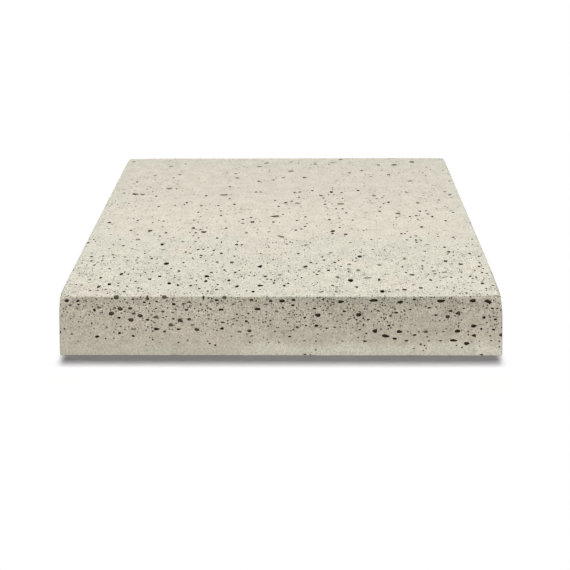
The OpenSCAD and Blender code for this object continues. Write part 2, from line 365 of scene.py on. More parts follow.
# Smaller pores of the face where the picture shows them: from the middle to the right, from the front arris
# to the back, and across
FACE_SMALL = (
    (-156, 154.5, 2.6), (-147.5, 142.5, 2.2), (-157, 114, 2.8), (-124.5, 83, 2.8), (-88.5, 147.5, 2.9),
    (-82, 104, 2.8), (-95, 53.5, 2.9), (-111.5, 42, 3.4), (-120, 36, 3.2), (-92.5, 23, 2.8),
    (-81, 22, 2.9), (-183.5, 87, 3), (-181.5, 77, 2.8), (-177, 67.5, 2.6), (-161, 59, 2.2),
    (-132, 31, 2.4), (-126, 50.5, 2.2), (-78, 90, 3), (-127.5, 17, 2.4), (-146.5, 21.5, 2.2),
    (-84.5, 81.5, 2.2), (-172.5, 88.5, 2.4), (-171.5, 77.5, 2.2), (-93, 34, 1.9), (-72.5, 15.5, 2.4),
    (-119, 147.5, 3.2), (-124, 139, 2.4), (-124.5, 164, 2.3), (-90.5, 140, 2.2), (-94, 158.5, 2.2),
    (-84.5, 156, 2.5), (-84.5, 133.5, 2.4), (-163, 130.5, 2), (-133, 95, 2), (-138, 84.5, 2),
    (-163.5, 92, 2.2), (-161.5, 85, 2.1), (-189.5, 72, 2), (-93.5, 98, 2.5), (-88.5, 95, 2.2),
    (-77, 105, 2.4), (-73, 109, 2), (-103, 59, 2.2), (-119.5, 52, 2.2), (-185, 24.5, 2), (-170, 12, 2.2),
    (-139, 9.5, 2.5), (-126.5, 10.5, 2), (-105.5, 48.5, 1.7), (-118, 71, 1.8), (-125.5, 72, 2),
    (-67.5, 90.5, 2), (-56.5, 24, 2.5), (-57, 14, 2.5), (-64.5, 10.5, 2.4), (-58.5, 160, 2.9),
    (-39.5, 117, 2.3), (23, 164.5, 2.9), (13.5, 154, 2.9), (19, 157.5, 2.6), (-66.5, 102, 2.8),
    (-61, 74, 3.2), (-58.5, 95, 3.2), (-53, 56, 2.8), (-55, 63, 2.1), (-64.5, 50.5, 2.8),
    (-42.5, 50.5, 2.9), (-47, 33, 3), (-14, 42, 2.9), (-6, 27.5, 2.6), (16, 94, 2.9), (-8.5, 35, 2),
    (19.5, 40, 2.4), (-8, 79.5, 2.2), (-45.5, 88, 2.2), (50.5, 145, 3.2), (40.5, 79, 2.9), (28, 73, 2.8),
    (50.5, 73, 2.9), (54.5, 77.5, 2.2), (44.5, 55, 3.1), (63, 58, 2.4), (47, 22, 2.8), (68.5, 19, 2.8),
    (90, 34, 3), (120.5, 144, 3), (127, 151, 2.3), (129, 135, 2.2), (143, 162.5, 3.5), (171.5, 135, 2.8),
    (159.5, 109.5, 2.9), (181.5, 93.5, 2.8), (185.5, 63.5, 2.8), (187.5, 72, 2.4), (190, 48, 2.6),
    (191, 22.5, 2.8), (136.5, 34, 2.9), (174, 42, 2.6), (189.5, 130, 2.2), (138.5, 127, 2.3),
    (133.5, 122.5, 2.5), (192, 112, 2.2), (165, 6.5, 2.4), (-24, 9.5, 3.1), (-42, 173, 3), (4.5, 118, 2.5),
    (8, 123, 2.2), (4, 140, 2.3), (-65.5, 133.5, 3), (-60.5, 121.5, 2), (-44.5, 124.5, 2.2),
    (-20.5, 95, 2.2), (39, 86, 2.5), (35.5, 53.5, 2.5), (30.5, 50.5, 2.2), (33.5, 46, 2.7), (7, 26.5, 2.4),
    (-39, 55, 2.2), (-36, 42, 2.2), (56.5, 64, 2.2), (7, 65, 2), (-12.5, 35.5, 2), (89, 129.5, 2.3),
    (88.5, 104, 2.2), (134.5, 138.5, 2.4), (156.5, 137.5, 2.2), (113.5, 62.5, 2.4), (116, 50, 2.4),
    (189, 87, 2.2), (188.5, 59, 2), (180, 55, 2), (186, 50, 2.4), (179, 40, 2.3), (165.5, 40, 2.3),
    (184, 16, 2), (170, 12, 2), (96.5, 46.5, 2), (70.5, 75.5, 2.2), (71.5, 83, 2.3), (97.5, 10, 2),
    (77, 97, 2), (-136.5, 223, 2.8), (-153, 182, 2.8), (-90, 225, 2.9), (-71.5, 225, 2.9),
    (-91.5, 205.5, 2.7), (-30.5, 305, 3.6), (45, 229, 3.2), (-5.5, 222.5, 2.8), (-10, 241, 2.5),
    (23.5, 191.5, 2.9), (56.5, 215, 2.6), (63.5, 215, 2.7), (67, 203, 2.8), (41.5, 256.5, 3),
    (76.5, 334.5, 3.2), (103, 207.5, 3.4), (170, 180, 2.8), (-123, 370, 3), (-172.5, 304, 3.2),
    (-131.5, 318, 3.4), (-124.5, 343, 3), (-125.5, 329, 3), (-181.5, 266, 2.8), (-143.5, 255.5, 3),
    (-119, 226.5, 2.4), (-107, 235, 3), (-87.5, 256.5, 3.2), (-67.5, 209, 2.4), (-66.5, 195.5, 2.7),
    (-54, 229, 3.2), (-60.5, 247, 2.6), (-59, 332.5, 3.2), (-63, 286.5, 3.2), (-32, 268.5, 3),
    (-26.5, 268.5, 2.7), (-13.5, 309.5, 3), (-125.5, 180, 2.5), (-131, 182, 2.3), (-94, 182.5, 2.6),
    (-42.5, 184, 2.9), (-34, 190, 2.7), (-10, 176.5, 3.3), (-0.5, 199, 2.5), (91, 343, 3.2),
    (113, 364, 3.4), (122.5, 327, 3.8), (135, 333.5, 3.2), (190.5, 304, 3), (83.5, 273, 3.6),
    (64.5, 266, 3), (55.5, 259, 2.5), (49.5, 259, 2.5), (64.5, 247.5, 2.6), (45.5, 239, 2.2),
    (109, 250, 3), (102.5, 247, 2.3), (114.5, 234.5, 3.4), (104.5, 219.5, 2.4), (146, 207.5, 3),
    (153, 209, 2.4), (134, 192, 2.8), (140.5, 194.5, 3), (157.5, 191.5, 3.1), (153.5, 199, 2.8),
    (181, 204, 2.9), (170.5, 242, 2.6), (14.5, 181, 2.8), (48.5, 183.5, 3.1), (73, 182, 2.7),
    (119.5, 190, 2.3), (31.5, 273, 3), (11.5, 267, 3), (16.5, 250.5, 2.7),
)
# Shallow grey marks of the face: as above, with a length and a width
FACE_MARKS = (
    (-147.5, 50.5, 4.6, 3.6), (23.5, 115.5, 4, 3.4), (-1, 44.5, 3.6, 2.8), (47.5, 96, 4, 2.6),
    (64.5, 68.5, 4.4, 2.8), (92.5, 67.5, 4.4, 3), (117.5, 82, 3.2, 4), (79.5, 38, 9, 2),
    (151.5, 50.5, 6, 2), (142, 53.5, 5, 1.8), (-132, 281, 7, 4.5), (-23, 372, 7, 3), (-32, 359, 8, 2.6),
    (48, 362, 11, 3), (15, 232.5, 6.5, 3), (146.5, 233, 5, 3.6), (-187.5, 378.5, 5, 3),
    (-140, 359.5, 6, 3), (-154.5, 327, 4.5, 3), (-56, 317, 5.5, 3.4), (145.5, 305, 6.5, 3),
    (57.5, 373, 7, 2.6), (36, 368, 5, 3), (-116, 104, 5, 2), (-87, 124, 4, 1.8), (-99, 124, 3.4, 1.8),
    (-14, 150, 3, 2.4), (-37, 147.5, 3, 4), (67.5, 121.5, 3.4, 2.2), (143, 116, 4, 2), (139, 99.5, 3, 2.6),
    (132.5, 65, 2.6, 2.6), (132, 58.5, 2.6, 2.6), (134.5, 77, 3, 2.2), (142.5, 47.5, 3.4, 2.4),
    (50, 9.5, 3.4, 2.6), (37, 9.5, 3.4, 2), (-175, 35, 3, 2.4), (-180, 23.5, 3, 2.2), (-156.5, 14, 3, 2.4),
    (-82, 37.5, 3.4, 2), (-147, 106.5, 2.8, 2), (-151, 86.5, 3, 2.2), (120, 23.5, 3, 2),
    (104.5, 13, 4.4, 1.8), (8.5, 239, 3.4, 3), (17.5, 268, 3.4, 3.6), (181, 268.5, 3.4, 3),
    (138, 266, 3, 3), (-2.5, 318, 4, 3),
)
# Smaller pores of the front: from the middle to the right, below the face, length and height. The first
# three break the arris. The last twelve fill out the crowd in the middle and weren't read off.
FRONT_SMALL = (
    (-117, 1.9, 2.6, 4.4), (-67.5, 1.6, 1.7, 4), (-49, 0.8, 3.6, 4.2), (-187.5, 1, 1.9, 1.8),
    (-179, 4.5, 2.8, 2.2), (-180, 1.6, 1.6, 1.5), (-186, 8.5, 3.2, 1.4), (-166, 10.5, 1.7, 1.4),
    (-130, 16.7, 3.2, 1.8), (-143.5, 20.7, 3.2, 2), (-118, 22.5, 2.9, 2.2), (-104, 14.6, 2.9, 1.9),
    (-91, 31.7, 3.2, 2), (-144, 35.5, 3.3, 2), (-132, 38.3, 2.9, 2), (-103.5, 34, 2.7, 2),
    (-187, 36.5, 2.1, 1.6), (-170, 17.8, 2, 1.5), (-114.5, 42, 1.8, 1.6), (-12.5, 7.6, 4.4, 1.3),
    (11.5, 8.5, 3.6, 1.7), (-56, 3.7, 3.2, 2), (-28, 16.4, 2.8, 1.5), (-51, 25, 3.8, 1.6),
    (15.5, 29.7, 3.4, 1.9), (31, 11.7, 3.2, 1.5), (32, 31.2, 2.6, 1.3), (22, 20.2, 2.5, 1.8),
    (17.5, 24.3, 2.3, 1.4), (42, 30.6, 3.2, 1.6), (8.5, 38.8, 2.9, 1.6), (54, 0.8, 2.7, 1.8),
    (57, 14.4, 3.2, 1.6), (-8.5, 23.2, 2, 1.6), (-25.5, 38.3, 3.4, 1.2), (-58.5, 47.3, 2.2, 1.9),
    (-63.5, 45.7, 2.4, 1.4), (-57.5, 22.7, 2, 1.6), (48.5, 29.7, 2.6, 1.3), (118.5, 3, 2.9, 1.8),
    (84, 9.4, 2.8, 1.7), (87, 13.9, 2.8, 1.5), (120, 37.3, 3.4, 1.8), (113, 42.8, 3.7, 1.5),
    (143.5, 42.8, 3.3, 1.4), (133, 43.1, 2.1, 1.6), (191, 22.1, 3.2, 1.8), (190, 31.9, 3.3, 1.8),
    (179, 31.2, 2.5, 2), (187.5, 11.6, 2.4, 1.6), (192, 11.7, 2, 1.4), (154, 31.2, 2.5, 1.3),
    (163, 49.3, 2, 1.6), (71, 32.2, 2.2, 1.4), (-118, 25.3, 2, 1.4), (-114, 17.7, 2, 1.2),
    (-110, 11.8, 2.4, 1.4), (-95, 15.5, 1.9, 1.4), (-92.5, 12.4, 2, 1.3), (-93.5, 10.7, 1.9, 1.3),
    (-95, 21.4, 2.6, 1.3), (-104, 20.4, 1.7, 1.4), (-149, 34.5, 2, 1.3), (-155, 30, 1.6, 1.4),
    (-139, 31.8, 1.5, 1.3), (-157, 40.8, 1.8, 1.5), (-149.5, 40.5, 1.5, 1.3), (-91.5, 44.6, 2, 1.7),
    (-83, 42.4, 2, 1.5), (-130, 2.7, 2.6, 1.5), (-128, 5.1, 2.2, 1.4), (-120, 5.9, 2.6, 1.7),
    (-115.5, 6.8, 2, 1.6), (-109, 5, 2.6, 1.8), (-80, 5.6, 3, 1.5), (-85.5, 7.3, 3, 1.3),
    (-147, 10.9, 2.8, 1.2), (-179, 7.9, 2, 1.4), (-41, 7.5, 2.8, 1.4), (-50, 9.9, 4, 1.2),
    (-61.5, 12.1, 2.4, 1.4), (-63.5, 17.9, 2.2, 1.5), (-66, 13.7, 1.7, 1.4), (-46.5, 23.4, 1.7, 1.4),
    (-41, 21.5, 2.2, 1.6), (-39.5, 23.6, 2.4, 1.3), (-42, 26.7, 2, 1.4), (-56.5, 32.7, 1.6, 1.4),
    (2.5, 10.7, 2.2, 1.5), (-13, 24.4, 1.6, 1.4), (-10.5, 28.7, 2.2, 1.5), (-8.5, 26.9, 1.6, 1.4),
    (7, 25.4, 1.6, 1.8), (74, 20.9, 2.1, 1.6), (78.5, 22.4, 2.8, 1.3), (68, 22.4, 2, 1.6),
    (93, 9, 1.7, 1.4), (100, 12.7, 2.6, 1.5), (94, 20.6, 1.7, 1.4), (100.5, 27.4, 2, 1.3),
    (115.5, 12.7, 2, 1.5), (114, 34, 1.7, 1.4), (145.5, 33.9, 2, 1.3), (77, 35.7, 2.4, 1.4),
    (162.5, 11.6, 2.4, 1.2), (182.5, 11.2, 1.7, 1.4), (183.5, 25.2, 1.8, 1.5), (187.5, 38, 2, 1.4),
    (196, 43.4, 1.8, 1.6), (196.5, 48.8, 1.7, 1.6), (158, 47.6, 1.7, 1.4), (120, 50.6, 1.5, 1.3),
    (178, 43.4, 1.5, 1.3), (179, 1.6, 2.4, 1.3), (190, 5.6, 2, 1.5), (102.5, 40.8, 4.2, 2.1),
    (128.5, 12, 2.6, 1.3), (107.5, 15, 2, 1.2), (-166.5, 9.8, 1.4, 1.2), (135, 17.2, 1.8, 1.2),
    (197.2, 37.2, 3.8, 3.2), (197.3, 30, 2, 1.6), (197.4, 25.5, 1.8, 1.8), (197, 44.5, 1.6, 1.5),
    (129.5, 47.5, 1.8, 1.5), (131, 50.2, 1.5, 1.4), (128.5, 52.6, 1.5, 1.3), (178.6, 48, 1.5, 1.3),
    (22, 56.4, 3.2, 1.3), (27, 56.8, 2.2, 1), (181, 56.6, 3.4, 1.3), (46, 5.5, 2, 1.2), (66, 2.5, 2, 1.3),
    (72.5, 6.8, 1.8, 1.3), (90, 6, 1.8, 1.3), (-60, 2.2, 1.8, 1.4), (-35, 5.2, 2, 1.4), (38, 3, 2.2, 1.3),
    (61, 7.5, 1.8, 1.3), (75, 12, 1.8, 1.4), (81, 14.5, 1.6, 1.3), (88, 24, 1.8, 1.3),
    (59, 26.2, 1.8, 1.3),
)
# Shallow grey marks of the front
FRONT_MARKS = (
    (-78, 27.5, 3.8, 1.6), (-42, 18.5, 3.2, 2.4), (-36.5, 34.1, 4.2, 2.2), (-3, 14.4, 3.6, 2),
    (4, 22.4, 3.6, 1.3), (-33.5, 18.4, 3, 1.2), (-12, 14.7, 2.2, 2), (-4.5, 34, 2.4, 1.4),
    (21.5, 42.9, 2.4, 1.4), (32, 43.4, 2.2, 1.8), (56, 43.3, 2.8, 1.4), (44.5, 16.7, 4.6, 1.2),
    (98, 18.4, 2.8, 2.4), (32, 51.9, 1.8, 2), (-161, 10.7, 3.4, 2.6), (132, 13.5, 3.4, 2),
    (126, 46.5, 2.6, 2.4), (66, 17.8, 5, 1.3, 38), (61.5, 22, 5, 1.2, 42),
)

# Pores of the solid that stay shut, because the picture shows the slab whole there: the side, the place along
# it, and the place from the front arris or below the face. The last three, on a corner and on the arris, are
# opened wider by rows of FRONT_SMALL.
LEFT_SHUT = (
    (0, -140, 7), (0, -107, 7), (0, 187, 8), (0, -180, 127), (0, -165, 351), (0, -51, 192), (0, 165, 232),
    (0, 156, 240), (0, 125, 289), (0, 179, 224), (0, 37, 304), (0, 67, 295), (0, 107, 201), (0, 131, 143),
    (0, 108, 89), (0, -50, 64), (0, -140, 312), (1, -52, 22), (1, 198, 37.5), (1, -49.5, 0.5),
    (1, -117, 1.2),
)
# How far under the surface such a place is taken to lie, and how near to it its pore is found
PLACE_UNDER, FOUND_WITHIN = 1.0, 3.0

# Larger pores with some pale dust, then those with more, and two kinds that are shallow and nearly filled:
# the side and the place as above. The rest are clean, and their walls get the black painted shade of a hollow.
DUSTY = (
    ((0, 53, 268), (0, 122, 201), (0, -182, 176), (0, -80, 149), (0, 64, 143), (0, 156, 76), (0, 23, 64),
     (0, 121, 45), (0, 182, 26), (0, 111, 13), (1, -102, 1), (1, -144, 1), (1, -117, 2), (1, -142, 12),
     (1, -150, 16), (1, -124, 18), (1, -89, 23), (1, -74, 32), (1, -25, 3), (1, -8, 4), (1, -83, 13),
     (1, -133, 11), (1, -81, 22), (1, -133, 22), (1, -27, 33), (1, -30, 24), (1, 151, 14), (1, 157, 16),
     (1, 148, 19)),
    ((0, -168, 262), (0, 2, 234), (0, -9, 193), (0, -136, 153), (0, -45, 116), (0, 162, 98), (0, -47, 73),
     (0, 126, 17), (1, -49, 1), (1, -110, 20), (1, -97, 27), (1, 130, 34)),
    ((0, 154, 375), (0, 68, 385), (0, 132, 364), (0, 23, 318), (0, -159, 261), (0, 185, 258), (0, -1, 137),
     (0, -145, 130), (0, 72, 55), (0, 52, 40)),
    ((0, 6, 375), (0, 7, 341), (0, -68, 259), (0, 100, 256), (0, 62, 230)),
)
# For clean pores and those four kinds: how likely each is among the solid's pores and among smaller ones, the
# share of depth left, the stretch of the mouth, and how far the walls are from dust to black painted shade on
# the face and on the sides, less on the face, whose pores their own depth shades more, than on the sides, into
# whose pores the low front light shines. Shallow marks are of one kind.
CLEAN_IF_LARGE = (1, 0, 0, 0, 0)
DUST_LIKELY = (0.6, 0.3, 0.1, 0, 0)
DUST_LEAVES_DEPTH = np.array([1, 0.9, 0.6, 0.4, 0.25])
DUST_WIDENS = np.array([1, 1, 1.05, 1.05, 1])
PAINTED_SHADE_SHARE = np.array([[0.9, 0.74, 0.66, 0.62, 0.52], [1, 0.88, 0.78, 0.62, 0.5]])
DUST_ON_MARKS = 2
# Pores of the face are a kind dustier from here on towards the back, and another kind so much further back
MORE_DUST_FROM, MORE_DUST_EVERY = 20, 90

cos_lean, sin_lean = math.cos(lean_angle), math.sin(lean_angle)
# For the face, front, right, back and left: the way along it, the way up it, and the way out of it
SIDES = np.array([
    [[1, 0, 0], [0, 1, 0], [0, 0, 1]],
    [[1, 0, 0], [0, sin_lean, cos_lean], [0, -cos_lean, sin_lean]],
    [[0, 1, 0], [-sin_lean, 0, cos_lean], [cos_lean, 0, sin_lean]],
    [[-1, 0, 0], [0, -sin_lean, cos_lean], [0, cos_lean, sin_lean]],
    [[0, -1, 0], [sin_lean, 0, cos_lean], [-cos_lean, 0, sin_lean]],
])
SIDE_OUT = np.array([SLAB_T, *[cos_lean * SLAB_W / 2 + sin_lean * BED_CHAMFER] * 4])
# How far along the way up a side its lower edge lies from the slab's origin
up_of_foot = BED_CHAMFER * cos_lean - sin_lean * SLAB_W / 2


def depths(points):
    """How far points lie below the planes of the face, front, right, back and left."""
    return SIDE_OUT - points @ SIDES[:, 2].T


def read(items, name, each=1, kind=np.int32):
    """One property of all the points, corners, edges or faces of a mesh, so many numbers for each."""
    values = np.empty(len(items) * each, kind)
    items.foreach_get(name, values)
    return values


def solid_pores(node):
    """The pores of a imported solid, as groups of joined mesh points that lie well below its planes. Each point
    takes the lowest number among its neighbours until nothing changes. A group that a sphere fits, by least
    squares on x2 + y2 + z2 = 2 c.p + constant, is a single bubble. The length of any other lies along the
    widest spread of its points in its side's plane."""
    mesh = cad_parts[node].data
    points = read(mesh.vertices, "co", 3, float).reshape(-1, 3)
    places, same = np.unique(np.round(points / MM, 4), axis=0, return_inverse=True)
    triangles = same.ravel()[read(mesh.loops, "vertex_index")].reshape(-1, 3)
    below = depths(places)
    inside = (below.min(axis=1) > SOLID_PORE_DEEPER_THAN) & (places[:, 2] > SOLID_PORE_DEEPER_THAN)
    pairs = np.vstack([triangles[:, :2], triangles[:, 1:]])
    pairs = pairs[inside[pairs].all(axis=1)]
    label = np.arange(len(places))
    settled = False
    while not settled:
        lowest = label[pairs].min(axis=1)
        lowered = label.copy()
        np.minimum.at(lowered, pairs[:, 0], lowest)
        np.minimum.at(lowered, pairs[:, 1], lowest)
        lowered = lowered[lowered]
        settled = (lowered == label).all()
        label = lowered
    names = np.unique(label[inside])
    pores = np.zeros(len(names), PORE)
    for pore, name in zip(pores, names):
        own = inside & (label == name)
        cloud = places[own]
        side = int(below[own].min(axis=0).argmin())
        sphere = np.column_stack([2 * cloud, np.ones(len(cloud))])
        fit = np.linalg.lstsq(sphere, (cloud**2).sum(axis=1), rcond=None)[0]
        radius = math.sqrt(fit[3] + fit[:3] @ fit[:3])
        off = np.abs(np.linalg.norm(cloud - fit[:3], axis=1) - radius).max()
        pore["side"] = side
        if off < OFF_SPHERE * radius:
            pore["middle"] = fit[:3]
            pore["half"] = radius
            continue
        flat = cloud @ SIDES[side, :2].T
        axes = np.linalg.eigh(np.cov((flat - flat.mean(axis=0)).T))[1][:, ::-1]
        turned = flat @ axes
        sizes = np.ptp(turned, axis=0)
        middle = axes @ (turned.max(axis=0) + turned.min(axis=0)) / 2
        pore["turn"] = math.atan2(axes[1, 0], axes[0, 0])
        pore["half"] = STRING_FULLER * np.array([sizes[0], sizes[1], sizes[1]]) / 2
        out = SIDE_OUT[side] - SINK * sizes[1] / 2
        pore["middle"] = middle @ SIDES[side, :2] + out * SIDES[side, 2]
    return pores


def crowding(side, along, up):
    """How likely a small pore is at a place, from 0 to 1: soft clusters a few centimetres across, from sines
    crossed at odd angles, thinning out towards the foot of a side and towards the back of the face."""
    crossed = np.sin(along / 19 + 2.1 * np.sin(up / 31 + side) + side) * np.cos(up / 23 + along / 47)
    cluster = 0.55 + 0.45 * crossed
    if side == 0:
        return cluster * np.clip(0.5 - 0.65 * up / (SLAB_D / 2), 0.12, 1)
    return cluster * np.clip((up - FOOT_WITHOUT) / (0.5 * SLAB_T), 0, 1) ** 0.6


def small_pores(rng):
    """Small pores strewn over the face and the sides, each kept with the likelihood of its place. Most are
    close to the smallest size, as a power of an even random number makes them."""
    found = []
    for side, per_dm2 in enumerate(SMALL_PER_DM2):
        up_low, up_high = (-flat_half, flat_half) if side == 0 else (FOOT_WITHOUT, SLAB_T - BELOW_FACE)
        count = int(per_dm2 * (2 * flat_half / 100) * (up_high - up_low) / 100)
        along = rng.uniform(-flat_half, flat_half, count)
        up = rng.uniform(up_low, up_high, count)
        size = SMALL_FROM + (SMALL_TO - SMALL_FROM) * rng.random(count) ** MOSTLY_SMALL
        pores = np.zeros(count, PORE)
        pores["side"] = side
        pores["turn"] = rng.normal(0, SIDE_TURN, count) if side else rng.uniform(0, np.pi, count)
        width = rng.uniform(*WIDTH_OF_LENGTH[min(side, 1)], count)
        depth = rng.uniform(*DEPTH_OF_LENGTH, count)
        pores["half"] = np.column_stack([size, size * width, size * depth]) / 2
        out = SIDE_OUT[side] - SINK * pores["half"][:, 2]
        up_side = up if side == 0 else (up - BED_CHAMFER) / cos_lean + up_of_foot
        pores["middle"] = np.column_stack([along, up_side, out]) @ SIDES[side]
        found.append(pores[rng.random(count) < crowding(side, along, up)])
    return np.concatenate(found)


def on_slab(side, along, off_edge, under):
    """Places on the slab from the place along a side, the distance from the front arris or, on a side, below
    the face, and the depth under the surface."""
    if side == 0:
        up = off_edge - SLAB_D / 2 + LEAN_IN
    else:
        up = (SLAB_T - off_edge - BED_CHAMFER) / cos_lean + up_of_foot
    return np.column_stack([along, up, SIDE_OUT[side] - under]) @ SIDES[side]


def from_place(pores, side, along, off_edge):
    """How far the middles of pores lie from a listed place."""
    there = on_slab(side, np.array([along]), np.array([off_edge]), PLACE_UNDER)
    return np.linalg.norm(pores["middle"] - there, axis=1)


def listed_pores(side, table, deepest, rng):
    """Pores that stand where a table says. Its rows give the place along the side, the place up the face or
    below the side's upper edge, the length, and a width where it isn't close to the length, and a turn in
    degrees if there is one. They are about as deep as they are wide, up to the deepest half."""
    whole = [row if len(row) > 3 else (*row, row[2] * LISTED_WIDTH) for row in table]
    rows = np.array([(*row, 0)[:5] for row in whole])
    pores = np.zeros(len(rows), PORE)
    pores["side"] = side
    pores["turn"] = np.radians(rows[:, 4]) + rng.normal(0, LISTED_TURN, len(rows))
    deep = np.minimum(rows[:, 3] * rng.uniform(*LISTED_DEPTH, len(rows)), 2 * deepest)
    pores["half"] = SHOWN_FULLER * np.column_stack([rows[:, 2:4], deep]) / 2
    pores["middle"] = on_slab(side, rows[:, 0], rows[:, 1], SINK * pores["half"][:, 2])
    return pores


def apart(pores):
    """The pores in their order, less each that would come closer than GAP_BETWEEN to an earlier one, both by
    the circles round the two and by the boxes round them along their side's two ways."""
    reach = LUMPY * pores["half"][:, :2].max(axis=1)
    cos_turn, sin_turn = np.cos(pores["turn"])[:, None], np.sin(pores["turn"])[:, None]
    half = LUMPY_IN_BOX * pores["half"][:, :2]
    box = np.hypot(half * np.hstack([cos_turn, sin_turn]), half[:, ::-1] * np.hstack([sin_turn, cos_turn]))
    box[pores["side"] == 0, 1] *= FACE_LONGER
    kept = []
    for k, pore in enumerate(pores):
        offset = pores["middle"][kept] - pore["middle"]
        circles = np.linalg.norm(offset, axis=1) - reach[kept] - reach[k]
        boxes = (np.abs(offset @ SIDES[pore["side"], :2].T) - box[kept] - box[k]).max(axis=1)
        boxes[pores["side"][kept] != pore["side"]] = 0
        if (np.maximum(circles, boxes) > GAP_BETWEEN).all():
            kept.append(k)
    return pores[kept]


def dusted(pores, likely, rng):
    """The pores with their kinds of dust: one drawn by how likely each is, dustier towards the back of the
    face, or the one in DUSTY. Dust fills a pore from below and hardly changes its mouth."""
    pores["dust"] = rng.choice(len(likely), len(pores), p=likely)
    farther = np.clip((pores["middle"][:, 1] - MORE_DUST_FROM) / MORE_DUST_EVERY + 1, 0, 2).astype(int)
    pores["dust"] += np.where(pores["side"] == 0, farther, 0)
    for kind, places in enumerate(DUSTY, 1):
        for listed in places:
            away = from_place(pores, *listed)
            if away.min() < FOUND_WITHIN:
                pores["dust"][away.argmin()] = kind
    pores["dust"] = np.minimum(pores["dust"], len(likely) - 1)
    out = SIDES[pores["side"], 2]
    under = SIDE_OUT[pores["side"]] - (pores["middle"] * out).sum(axis=1)
    left = DUST_LEAVES_DEPTH[pores["dust"]]
    pores["middle"] += out * (under * (1 - left))[:, None]
    pores["half"][:, 2] *= left
    pores["half"][:, :2] *= DUST_WIDENS[pores["dust"], None]
    return pores


def bubbles(pores, around, rings, rng):
    """Closed bubbles on a grid of angles round and down each: a unit sphere, whose radius swells and shrinks
    by a few hundredths with twice and three times the angle round, drawn out to the pore's half sizes, and
    narrowed towards one end like a drop. Rings run downwards, so the faces are turned round."""
    count = len(pores)
    down = np.linspace(0, np.pi, rings + 1)[1:-1, None]
    angle = np.arange(around) * 2 * np.pi / around
    ball = np.dstack([np.sin(down) * np.cos(angle), np.sin(down) * np.sin(angle), np.cos(down) + 0 * angle])
    ball = np.vstack([ball.reshape(-1, 3), [[0, 0, 1], [0, 0, -1]]])
    flank = np.append((np.sin(down) + 0 * angle).ravel(), [0, 0])
    round_by = np.append(np.tile(angle, rings - 1), [0, 0])
    phase = rng.uniform(0, 2 * np.pi, (2, count, 1))
    swell = rng.uniform(*SWELL, (2, count, 1))
    twice = flank**2 * swell[0] * np.cos(2 * round_by + phase[0])
    thrice = flank**3 * swell[1] * np.cos(3 * round_by + phase[1])
    shape = ball * (1 + twice + thrice)[:, :, None]
    drop = rng.uniform(-DROP, DROP, (count, 1)) * shape[:, :, 0]
    shape[:, :, 1] *= 1 - drop
    shape *= pores["half"][:, None, :]
    sides = SIDES[pores["side"]]
    inland = np.abs(pores["middle"][:, :2]).max(axis=1) < flat_half - FACE_LONGER_FROM_EDGE
    sides[(pores["side"] == 0) & inland, 1] *= FACE_LONGER
    cos_turn, sin_turn = np.cos(pores["turn"])[:, None], np.sin(pores["turn"])[:, None]
    lengthwise = cos_turn * sides[:, 0] + sin_turn * sides[:, 1]
    crosswise = cos_turn * sides[:, 1] - sin_turn * sides[:, 0]
    points = shape @ np.stack([lengthwise, crosswise, sides[:, 2]], axis=1) + pores["middle"][:, None, :]
    quads, top, bottom = (part[:, ::-1] for part in skin(around, rings - 1))
    start = np.arange(count)[:, None, None] * len(ball)
    faces = [(part + start).reshape(-1, part.shape[1]) for part in (np.roll(quads, 1, axis=1), top, bottom)]
    return points.reshape(-1, 3), faces


def joined(groups):
    """One mesh's points and faces from several groups of points and face arrays."""
    points = np.vstack([g[0] for g in groups])
    starts = np.cumsum([0] + [len(g[0]) for g in groups])
    parts = [part + start for g, start in zip(groups, starts) for part in g[1]]
    return points * MM, [face for part in parts for face in part.tolist()]


draws = np.random.default_rng(PORE_SEED)
large_pores = solid_pores("slab")
for listed in LEFT_SHUT:
    large_pores = large_pores[from_place(large_pores, *listed) > FOUND_WITHIN]
single = large_pores["half"][:, 0] == large_pores["half"][:, 1]
large_pores["half"][single & (large_pores["side"] > 0)] *= SIDE_STRETCH
strewn = small_pores(draws)
strewn = strewn[np.argsort(-strewn["half"][:, 0], kind="stable")]
marks = np.concatenate([
    listed_pores(0, FACE_MARKS, MARK_DEPTH, draws), listed_pores(1, FRONT_MARKS, MARK_DEPTH, draws)
])
marks["dust"] = DUST_ON_MARKS
pores = apart(np.concatenate([
    dusted(large_pores, CLEAN_IF_LARGE, draws),
    dusted(listed_pores(0, FACE_SMALL, PORE_DEPTH, draws), DUST_LIKELY, draws),
    dusted(listed_pores(1, FRONT_SMALL, PORE_DEPTH, draws), DUST_LIKELY, draws),
    marks,
    dusted(strewn, DUST_LIKELY, draws),
]))
# Bubbles by size, with their angles round and rings down
is_large, is_tiny = pores["half"][:, 0] > LARGE_FROM, pores["half"][:, 0] < TINY_UNDER
kinds_of_size = ((is_large, 12, 8), (~is_large & ~is_tiny, 8, 6), (is_tiny, 6, 5))
groups = [bubbles(pores[chosen], around, rings, draws) for chosen, around, rings in kinds_of_size]
wall_kinds = [
    np.repeat(1 + pores["dust"][chosen], count)
    for chosen, around, rings in kinds_of_size for count in ((rings - 2) * around, around, around)
]
cutter = mesh_piece("bubbles", *joined(groups))

# The cut leaves the slab's own faces in slot 0, and a bubble's in the slot of its kind of dust plus one
concrete = bpy.data.materials.new("cast_concrete")
concrete.use_nodes = True
pore_wall = bpy.data.materials.new("pore_wall")
for part in (slab, cutter):
    part.data.materials.append(concrete)
    for _ in DUST_LEAVES_DEPTH:
        part.data.materials.append(pore_wall)
cutter.data.polygons.foreach_set("material_index", np.concatenate(wall_kinds).astype(np.int32))
cut = slab.modifiers.new("open_pores", "BOOLEAN")
cut.operation = "DIFFERENCE"
cut.solver = "MANIFOLD"
cut.object = cutter
whole = slab.data
slab.data = bpy.data.meshes.new_from_object(slab.evaluated_get(bpy.context.evaluated_depsgraph_get()))
slab.modifiers.clear()
bpy.data.meshes.remove(whole)
bpy.data.objects.remove(cutter)
slab.data.name = "paving_slab"


